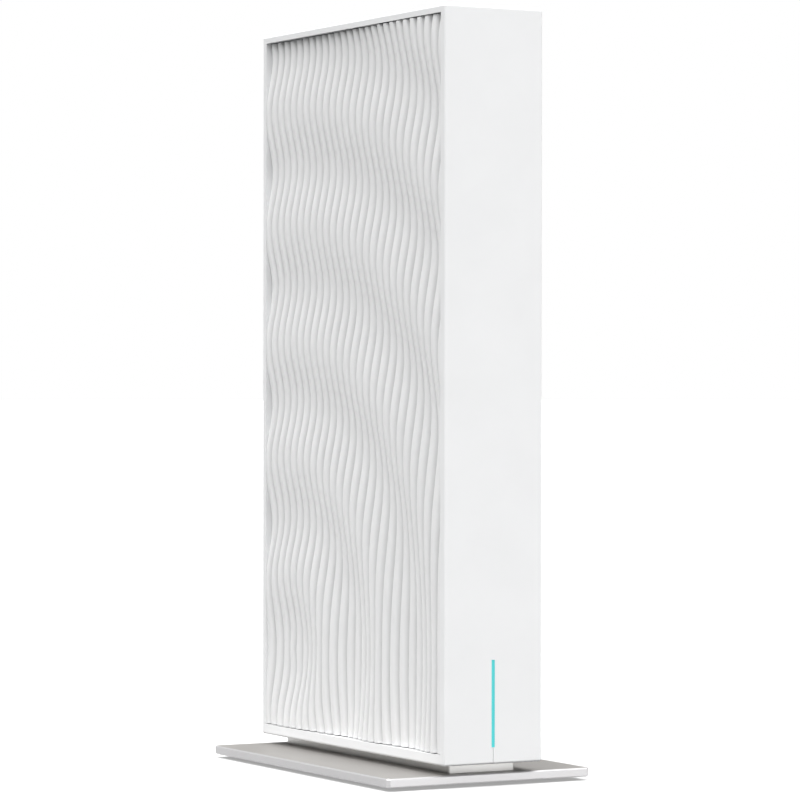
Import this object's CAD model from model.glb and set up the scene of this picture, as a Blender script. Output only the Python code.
"""Looks of the tower wireless router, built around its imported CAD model. Metres, +Z up."""
import math

import bmesh
import bpy
import numpy as np
from mathutils import Matrix, Vector


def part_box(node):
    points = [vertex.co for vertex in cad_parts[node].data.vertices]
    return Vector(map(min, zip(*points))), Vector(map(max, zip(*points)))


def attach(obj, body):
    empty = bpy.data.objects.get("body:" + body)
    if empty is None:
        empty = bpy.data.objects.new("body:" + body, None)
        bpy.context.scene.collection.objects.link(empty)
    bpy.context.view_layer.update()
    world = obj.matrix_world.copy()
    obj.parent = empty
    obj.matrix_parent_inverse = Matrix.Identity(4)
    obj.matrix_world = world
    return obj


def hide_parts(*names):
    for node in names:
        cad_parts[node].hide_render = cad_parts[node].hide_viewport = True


MM = 0.001

# ---- camera ----
LENS_MM = 162.2
SENSOR_MM = 36.0
CAMERA_YAW = math.radians(29.15)      # turned from +Y towards +X
CAMERA_PITCH = math.radians(-0.16)
CAMERA_ROLL = math.radians(0.084)
CAMERA_DISTANCE = 4.987               # in body heights
CAMERA_OFFSET = (0.0041, -0.0202)     # right and up, in body heights
CLIP_START = 0.01

# ---- rippled side panels ----
RIB_PITCH = 3.832 * MM
RIB_DEPTH = 1.8 * MM
RIB_COUNT = 29
CREST_SHARE = 0.6                     # crest's place between the groove behind it and the one in front
REAR_POWER = 3.0                      # how flat-topped a rib is behind its crest
FRONT_POWER = 4.0                     # and in front of it
FIRST_GROOVE_Y = 55.17 * MM
SWAY = 1.00 * MM                      # sideways reach of the ripples
RELIEF = 0.60 * MM                    # how far they reach in and out
RING_LENGTH = 32.78 * MM
RING_CENTRE = (36.45 * MM, 31.15 * MM)  # Y, Z
RING_PHASE = 0.633
RIM_RECESS = 0.62 * MM                # crests below the housing's side face, along the panel's rim
DISH = 0.58 * MM                      # how much deeper they lie in the middle
BOTTOM_GAP = 0.2 * MM                 # shadow gap below the panels
PANEL_BACK = 10.7 * MM                # the panels' flat backs, from the middle of the body
FLANK_STEPS = 7                       # mesh columns on each side of a crest
PANEL_ROWS = 160
CUT_TOLERANCE = 1e-7
SHARP_EDGE = math.radians(30.0)       # shading is smooth across anything flatter
GROOVE_LAYER = "groove"               # 0 on the crests to 1 at the bottoms of the grooves
GROOVE_COLOUR = (0.58, 0.58, 0.58)    # at those bottoms, where soft light hardly reaches

# ---- surfaces ----
NOISE_SPAN = (0.3, 0.7)               # values that noise mostly keeps to
MOTTLE_MM = 14.0                      # size of the slow drift of colour
BUMP_STRENGTH = 0.4
EDGE_COLOUR = (0.52, 0.515, 0.52)     # cut edges of the base plate
EDGE_FACING = 0.9                     # a face that looks less up or down than this is a cut edge
TOP_METALLIC = 0.4                    # the plate's blasted top is duller
BAR_COLOUR = (0.05, 0.46, 0.48)       # light bar
BAR_GLOW = ((0.01, 0.58, 0.60), (0.02, 0.66, 0.67))
BAR_STRENGTH = 0.30
BAR_ROUGHNESS = 0.25
BAR_DRIFT = 120.0                     # noise scale of its glow

# ---- stage and light ----
BASE_GLOW = 0.04                      # radiance that reaches the object from every side
STUDIO_LOBES = (                      # direction, sharpness, radiance
    ((0.00, 0.00, 1.00), 8.0, 4.60),      # softbox overhead
    ((-0.10, -0.60, 0.80), 8.0, 1.50),    # softbox above the front
    ((0.30, -0.95, 0.02), 20.0, 4.80),    # low softbox in front
    ((-0.60, -0.10, 0.80), 8.0, 3.80),    # softbox above the left
    ((-0.85, 0.00, 0.50), 5.0, 0.45),     # weak fill on the left
    ((0.75, -0.10, 0.65), 6.0, 1.60),     # softbox above the right
    ((0.00, 0.65, 0.76), 8.0, 1.90),      # softbox above the rear
)
FLOOR_COLOUR = (0.50, 0.50, 0.50)
FLOOR_GLOW = 0.32                     # how white the floor stays in shadow
FLOOR_ROUGHNESS = 0.9
FLOOR_SPECULAR = 0.1
FLOOR_REACH = 30.0

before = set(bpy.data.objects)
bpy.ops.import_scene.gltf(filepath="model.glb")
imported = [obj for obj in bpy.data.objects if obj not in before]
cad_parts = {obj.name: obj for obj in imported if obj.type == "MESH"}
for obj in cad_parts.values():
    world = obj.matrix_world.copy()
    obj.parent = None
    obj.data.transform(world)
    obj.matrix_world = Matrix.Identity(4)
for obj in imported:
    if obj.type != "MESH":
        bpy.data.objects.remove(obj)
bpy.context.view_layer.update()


# ---- shader helpers ----
def new_material(name):
    """An empty principled material: returns it with its node tree and shader."""
    material = bpy.data.materials.new(name)
    material.use_nodes = True
    tree = material.node_tree
    return material, tree, tree.nodes["Principled BSDF"]


def add_node(tree, kind, **settings):
    """Adds a node and sets its inputs by name; spaces in an input's name are written as underscores."""
    made = tree.nodes.new(kind)
    for key, value in settings.items():
        made.inputs[key.replace("_", " ")].default_value = value
    return made


def feed(tree, socket, value):
    """Links another node's output to a socket, or sets the socket to a plain value."""
    if isinstance(value, bpy.types.NodeSocket):
        tree.links.new(value, socket)
    else:
        socket.default_value = value


def arithmetic(tree, operation, first, second):
    """Result of a sum on two values, each plain or another node's output."""
    made = tree.nodes.new("ShaderNodeMath")
    made.operation = operation
    feed(tree, made.inputs[0], first)
    feed(tree, made.inputs[1], second)
    return made.outputs[0]


def noise(tree, scale, detail=2.0, roughness=0.5):
    """Noise in the object's own space, which is the shared frame in metres."""
    place = tree.nodes.new("ShaderNodeTexCoord")
    made = add_node(tree, "ShaderNodeTexNoise", Scale=scale, Detail=detail, Roughness=roughness)
    tree.links.new(place.outputs["Object"], made.inputs["Vector"])
    return made.outputs["Fac"]


def spread(tree, source, low, high):
    """Maps noise to a range."""
    made = add_node(tree, "ShaderNodeMapRange", To_Min=low, To_Max=high)
    made.inputs["From Min"].default_value, made.inputs["From Max"].default_value = NOISE_SPAN
    tree.links.new(source, made.inputs["Value"])
    return made.outputs["Result"]


def tint(tree, factor, first, second):
    """Colour that runs from one to another with a 0 to 1 value; the first may be a node's output."""
    made = tree.nodes.new("ShaderNodeMix")
    made.data_type = "RGBA"
    tree.links.new(factor, made.inputs["Factor"])
    feed(tree, made.inputs["A"], (*first, 1.0) if isinstance(first, tuple) else first)
    made.inputs["B"].default_value = (*second, 1.0)
    return made.outputs["Result"]


def bump(tree, source, distance):
    """Normal that follows a height."""
    made = add_node(tree, "ShaderNodeBump", Strength=BUMP_STRENGTH, Distance=distance)
    tree.links.new(source, made.inputs["Height"])
    return made.outputs["Normal"]


def surface(name, first, second, roughness, grain_mm, grain_depth_mm, metallic=0.0):
    """Material with a slow drift of colour, a varied gloss and a fine grain."""
    material, tree, shader = new_material(name)
    slow = spread(tree, noise(tree, 1000.0 / MOTTLE_MM, 3.0), 0.0, 1.0)
    fine = noise(tree, 1000.0 / grain_mm, 3.0, 0.6)
    tree.links.new(tint(tree, slow, first, second), shader.inputs["Base Color"])
    tree.links.new(spread(tree, fine, *roughness), shader.inputs["Roughness"])
    tree.links.new(bump(tree, fine, grain_depth_mm * MM), shader.inputs["Normal"])
    shader.inputs["Metallic"].default_value = metallic
    return material


def retint(material, factor, colour):
    """Runs a material's colour over to another one with a 0 to 1 value."""
    tree = material.node_tree
    socket = tree.nodes["Principled BSDF"].inputs["Base Color"]
    tree.links.new(tint(tree, factor, socket.links[0].from_socket, colour), socket)
    return material


# ---- side panels ----
def ripple(rest, z):
    """Height of the ripple, -1 to 1, where an upright line at rest is pushed by rings about one point."""
    ring = np.hypot(rest - RING_CENTRE[0], z - RING_CENTRE[1])
    return np.sin(2 * np.pi * ring / RING_LENGTH + RING_PHASE)


def dish(rest, z, low, high):
    """Depth of the panel's shallow hollow, which fades out at its rim."""
    across = 1 - (rest / high.y) ** 2
    upward = 1 - ((2 * z - low.z - high.z) / (high.z - low.z)) ** 2
    return DISH * max(across, 0.0) * upward


def rib_columns():
    """Mesh columns from the rear to the front: rib number with a fraction, and depth below the crests."""
    columns = []
    for number in range(RIB_COUNT - 1):
        for step in range(FLANK_STEPS):
            away = math.cos(math.pi / 2 * step / FLANK_STEPS)
            columns.append((number + CREST_SHARE * (1 - away), RIB_DEPTH * away ** REAR_POWER))
        for step in range(FLANK_STEPS):
            away = math.sin(math.pi / 2 * step / FLANK_STEPS)
            columns.append((number + CREST_SHARE + (1 - CREST_SHARE) * away, RIB_DEPTH * away ** FRONT_POWER))
    return columns


def panel_points(mesh, side, low, high):
    """Columns of points on the outer face, and for each column the two points behind its ends."""
    rim_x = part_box("housing_frame")[1].x - RIM_RECESS
    z = np.linspace(low.z + BOTTOM_GAP, high.z, PANEL_ROWS)
    share = mesh.verts.layers.float.new(GROOVE_LAYER)
    outer, back = [], []
    for number, depth in rib_columns():
        rest = FIRST_GROOVE_Y - number * RIB_PITCH
        wave = ripple(rest, z)
        y = rest - SWAY * wave
        x = side * (rim_x - dish(rest, z, low, high) - RELIEF * wave - depth)
        outer.append([mesh.verts.new(place) for place in zip(x, y, z)])
        for vert in outer[-1]:
            vert[share] = (depth / RIB_DEPTH) ** 2
        back.append([mesh.verts.new((side * PANEL_BACK, y[i], z[i])) for i in (0, -1)])
    return outer, back


def close_panel(mesh, outer, back):
    """Faces of the ribs, the bottom, the top, the back and the two ends."""
    for a, b in zip(outer, outer[1:]):
        for p, q, r, s in zip(a, b, b[1:], a[1:]):
            mesh.faces.new((p, q, r, s))
    for a, b, c, d in zip(outer, outer[1:], back, back[1:]):
        mesh.faces.new((a[0], c[0], d[0], b[0]))
        mesh.faces.new((b[-1], d[1], c[1], a[-1]))
        mesh.faces.new((c[1], d[1], d[0], c[0]))
    for column, ends in ((outer[0], back[0]), (outer[-1], back[-1])):
        mesh.faces.new(column + [ends[1], ends[0]])


def cut_square(mesh, y):
    """Cuts off what lies past one end of the panel, and closes the cut."""
    everything = list(mesh.verts) + list(mesh.edges) + list(mesh.faces)
    cut = bmesh.ops.bisect_plane(mesh, geom=everything, dist=CUT_TOLERANCE, plane_co=(0, y, 0),
                                 plane_no=(0, math.copysign(1, y), 0), clear_outer=True)
    rim = [part for part in cut["geom_cut"] if isinstance(part, bmesh.types.BMEdge)]
    bmesh.ops.edgenet_fill(mesh, edges=rim)


def panel_mesh(side, node):
    """Closed mesh of one side panel: rippled outer face, flat back, cut square at the front and the rear."""
    low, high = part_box(node)
    mesh = bmesh.new()
    outer, back = panel_points(mesh, side, low, high)
    close_panel(mesh, outer, back)
    for y in (low.y, high.y):
        cut_square(mesh, y)
    bmesh.ops.recalc_face_normals(mesh, faces=mesh.faces)
    return mesh


def add_mesh(name, mesh, material):
    """Makes an object from mesh code, smooth except across sharp edges."""
    data = bpy.data.meshes.new(name)
    mesh.to_mesh(data)
    mesh.free()
    data.materials.append(material)
    for face in data.polygons:
        face.use_smooth = True
    data.set_sharp_from_angle(angle=SHARP_EDGE)
    made = bpy.data.objects.new(name, data)
    bpy.context.scene.collection.objects.link(made)
    return made


def add_side_panels():
    """Finely meshed ribs in place of the two CAD side panels."""
    plastic = panel_plastic()
    for side, node in ((-1, "left_wave_panel"), (1, "right_wave_panel")):
        panel = add_mesh(node + "_ribs", panel_mesh(side, node), plastic)
        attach(panel, "root")
        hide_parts(node)


# ---- materials with more than one surface ----
def panel_plastic():
    """White moulded plastic that greys a little towards the bottoms of the grooves."""
    material = surface("white_panel", (0.84, 0.843, 0.845), (0.86, 0.863, 0.865), (0.40, 0.48), 0.25, 0.006)
    groove = material.node_tree.nodes.new("ShaderNodeAttribute")
    groove.attribute_name = GROOVE_LAYER
    return retint(material, groove.outputs["Fac"], GROOVE_COLOUR)


def plate_metal():
    """Tinted metal with a blasted top and bare cut edges."""
    material = surface("plate_metal", (0.305, 0.293, 0.280), (0.325, 0.313, 0.300), (0.42, 0.50), 0.2, 0.004)
    tree = material.node_tree
    facing = tree.nodes.new("ShaderNodeSeparateXYZ")
    tree.links.new(tree.nodes.new("ShaderNodeNewGeometry").outputs["True Normal"], facing.inputs["Vector"])
    level = arithmetic(tree, "ABSOLUTE", facing.outputs["Z"], 0.0)
    edge = arithmetic(tree, "LESS_THAN", level, EDGE_FACING)
    tree.links.new(arithmetic(tree, "MAXIMUM", edge, TOP_METALLIC),
                   tree.nodes["Principled BSDF"].inputs["Metallic"])
    return retint(material, edge, EDGE_COLOUR)


def glowing_bar():
    """Lit acrylic whose glow drifts a little along its length."""
    material, tree, shader = new_material("light_bar")
    shader.inputs["Base Color"].default_value = (*BAR_COLOUR, 1.0)
    shader.inputs["Roughness"].default_value = BAR_ROUGHNESS
    glow = tint(tree, spread(tree, noise(tree, BAR_DRIFT), 0.0, 1.0), *BAR_GLOW)
    tree.links.new(glow, shader.inputs["Emission Color"])
    shader.inputs["Emission Strength"].default_value = BAR_STRENGTH
    return material


# ---- materials on the CAD nodes ----
def dress(material, *nodes):
    """Puts a material on CAD nodes."""
    for name in nodes:
        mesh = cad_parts[name].data
        mesh.materials.clear()
        mesh.materials.append(material)


def dress_outside():
    """Body, light bar, stand and button."""
    dress(surface("white_shell", (0.86, 0.865, 0.87), (0.88, 0.885, 0.89), (0.42, 0.50), 0.25, 0.006),
          "housing_frame")
    dress(surface("bezel", (0.74, 0.745, 0.75), (0.77, 0.775, 0.78), (0.45, 0.6), 0.3, 0.01), "port_bezel")
    dress(surface("button", (0.80, 0.80, 0.80), (0.83, 0.83, 0.83), (0.35, 0.45), 0.3, 0.006), "wps_button")
    dress(surface("neck_metal", (0.52, 0.515, 0.505), (0.55, 0.545, 0.535), (0.32, 0.40), 0.3, 0.01, 1.0),
          "neck")
    dress(plate_metal(), "base_plate")
    dress(surface("foot_rubber", (0.03, 0.03, 0.03), (0.05, 0.05, 0.05), (0.7, 0.9), 0.4, 0.03),
          "rubber_feet")
    dress(surface("screw_steel", (0.42, 0.42, 0.43), (0.55, 0.55, 0.55), (0.25, 0.4), 0.3, 0.01, 1.0),
          "stand_screws", "board_screws")
    dress(glowing_bar(), "light_guide")


def dress_boards():
    """Circuit boards and what sits on them."""
    dress(surface("board_mask", (0.01, 0.05, 0.025), (0.015, 0.07, 0.03), (0.25, 0.4), 1.5, 0.02),
          "main_board", "light_board")
    dress(surface("moulded_black", (0.012, 0.012, 0.013), (0.02, 0.02, 0.021), (0.4, 0.6), 0.25, 0.01),
          "processor", "memory_chip", "flash_chip", "radio_chip_high", "radio_chip_low", "port_transformers",
          "power_inductor", "light_header", "dc_jack_body", "wps_switch_case", "reset_switch_case",
          "antenna_sockets")
    dress(surface("sink_metal", (0.60, 0.60, 0.61), (0.66, 0.66, 0.67), (0.3, 0.5), 0.5, 0.02, 1.0),
          "heatsink", "capacitors")
    dress(surface("soft_grey", (0.20, 0.21, 0.23), (0.25, 0.26, 0.28), (0.7, 0.9), 0.5, 0.03),
          "thermal_pad", "antenna_pads")
    dress(surface("lamp_lens", (0.75, 0.75, 0.60), (0.80, 0.80, 0.66), (0.2, 0.3), 0.5, 0.004), "light_chips")
    dress(surface("plunger_grey", (0.06, 0.06, 0.065), (0.09, 0.09, 0.095), (0.35, 0.5), 0.4, 0.006),
          "wps_switch_plunger", "reset_switch_plunger")


def dress_connectors():
    """Sockets, shields, antennas and their leads."""
    dress(surface("tin", (0.60, 0.60, 0.58), (0.68, 0.68, 0.66), (0.22, 0.36), 0.8, 0.01, 1.0),
          "radio_shield_high", "radio_shield_low", "wan_jack_shell", "lan_jack_one_shell",
          "lan_jack_two_shell", "dc_jack_pin", "antenna_plugs")
    dress(surface("jack_nylon", (0.02, 0.02, 0.022), (0.03, 0.03, 0.032), (0.35, 0.5), 0.3, 0.01),
          "wan_jack_body", "lan_jack_one_body", "lan_jack_two_body")
    dress(surface("gold", (0.78, 0.56, 0.20), (0.85, 0.63, 0.26), (0.15, 0.25), 0.4, 0.004, 1.0),
          "wan_jack_contacts", "lan_jack_one_contacts", "lan_jack_two_contacts")
    dress(surface("lead_jacket", (0.02, 0.02, 0.022), (0.03, 0.03, 0.03), (0.35, 0.5), 0.5, 0.01),
          "antenna_lead_top_front", "antenna_lead_top_rear", "antenna_lead_wall_front",
          "antenna_lead_wall_rear")
    dress(surface("antenna_mask", (0.015, 0.015, 0.015), (0.03, 0.03, 0.03), (0.3, 0.45), 0.8, 0.01),
          "antenna_top_front", "antenna_top_rear", "antenna_wall_front", "antenna_wall_rear")


# ---- stage, light and camera ----
def lobe(tree, way, direction, sharpness, radiance):
    """Soft patch of studio light about a direction."""
    dot = tree.nodes.new("ShaderNodeVectorMath")
    dot.operation = "DOT_PRODUCT"
    tree.links.new(way, dot.inputs[0])
    dot.inputs[1].default_value = Vector(direction).normalized()
    above = arithmetic(tree, "MAXIMUM", dot.outputs["Value"], 0.0)
    return arithmetic(tree, "MULTIPLY", arithmetic(tree, "POWER", above, sharpness), radiance)


def studio_world():
    """Soft studio light from a few wide directions; the backdrop itself is plain white."""
    world = bpy.data.worlds.new("studio")
    world.use_nodes = True
    tree = world.node_tree
    way = tree.nodes.new("ShaderNodeTexCoord").outputs["Generated"]
    total = BASE_GLOW
    for direction, sharpness, radiance in STUDIO_LOBES:
        total = arithmetic(tree, "ADD", lobe(tree, way, direction, sharpness, radiance), total)
    seen = tree.nodes.new("ShaderNodeLightPath").outputs["Is Camera Ray"]
    tree.links.new(arithmetic(tree, "MAXIMUM", total, seen), tree.nodes["Background"].inputs["Strength"])
    tree.nodes["Background"].inputs["Color"].default_value = (1.0, 1.0, 1.0, 1.0)
    bpy.context.scene.world = world


def set_stage():
    """Pale floor under the studio light. It doesn't bounce light up on the object."""
    mesh = bmesh.new()
    bmesh.ops.create_grid(mesh, x_segments=1, y_segments=1, size=FLOOR_REACH)
    material, tree, shader = new_material("floor_paint")
    shader.inputs["Base Color"].default_value = (*FLOOR_COLOUR, 1.0)
    shader.inputs["Roughness"].default_value = FLOOR_ROUGHNESS
    shader.inputs["Specular IOR Level"].default_value = FLOOR_SPECULAR
    shader.inputs["Emission Color"].default_value = (1.0, 1.0, 1.0, 1.0)
    shader.inputs["Emission Strength"].default_value = FLOOR_GLOW
    floor = add_mesh("floor", mesh, material)
    floor.visible_diffuse = False
    studio_world()
    bpy.context.scene.view_settings.view_transform = "Standard"


def add_camera():
    """Camera at the fitted view: yaw, pitch and roll, then a distance back from the middle of the body."""
    low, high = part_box("housing_frame")
    height = high.z - low.z
    forward = Vector((math.sin(CAMERA_YAW) * math.cos(CAMERA_PITCH),
                      math.cos(CAMERA_YAW) * math.cos(CAMERA_PITCH), math.sin(CAMERA_PITCH)))
    level = Vector((math.cos(CAMERA_YAW), -math.sin(CAMERA_YAW), 0))
    upright = level.cross(forward)
    right = math.cos(CAMERA_ROLL) * level + math.sin(CAMERA_ROLL) * upright
    up = -math.sin(CAMERA_ROLL) * level + math.cos(CAMERA_ROLL) * upright
    data = bpy.data.cameras.new("camera")
    data.lens = LENS_MM
    data.sensor_width = SENSOR_MM
    data.clip_start = CLIP_START
    camera = bpy.data.objects.new("camera", data)
    turn = Matrix((right, up, -forward)).transposed()
    camera.rotation_mode = "QUATERNION"
    camera.rotation_quaternion = turn.to_quaternion()
    camera.location = ((low + high) / 2 - forward * CAMERA_DISTANCE * height
                       + right * CAMERA_OFFSET[0] * height + up * CAMERA_OFFSET[1] * height)
    bpy.context.scene.collection.objects.link(camera)
    bpy.context.scene.camera = camera


dress_outside()
dress_boards()
dress_connectors()
add_side_panels()
set_stage()
add_camera()
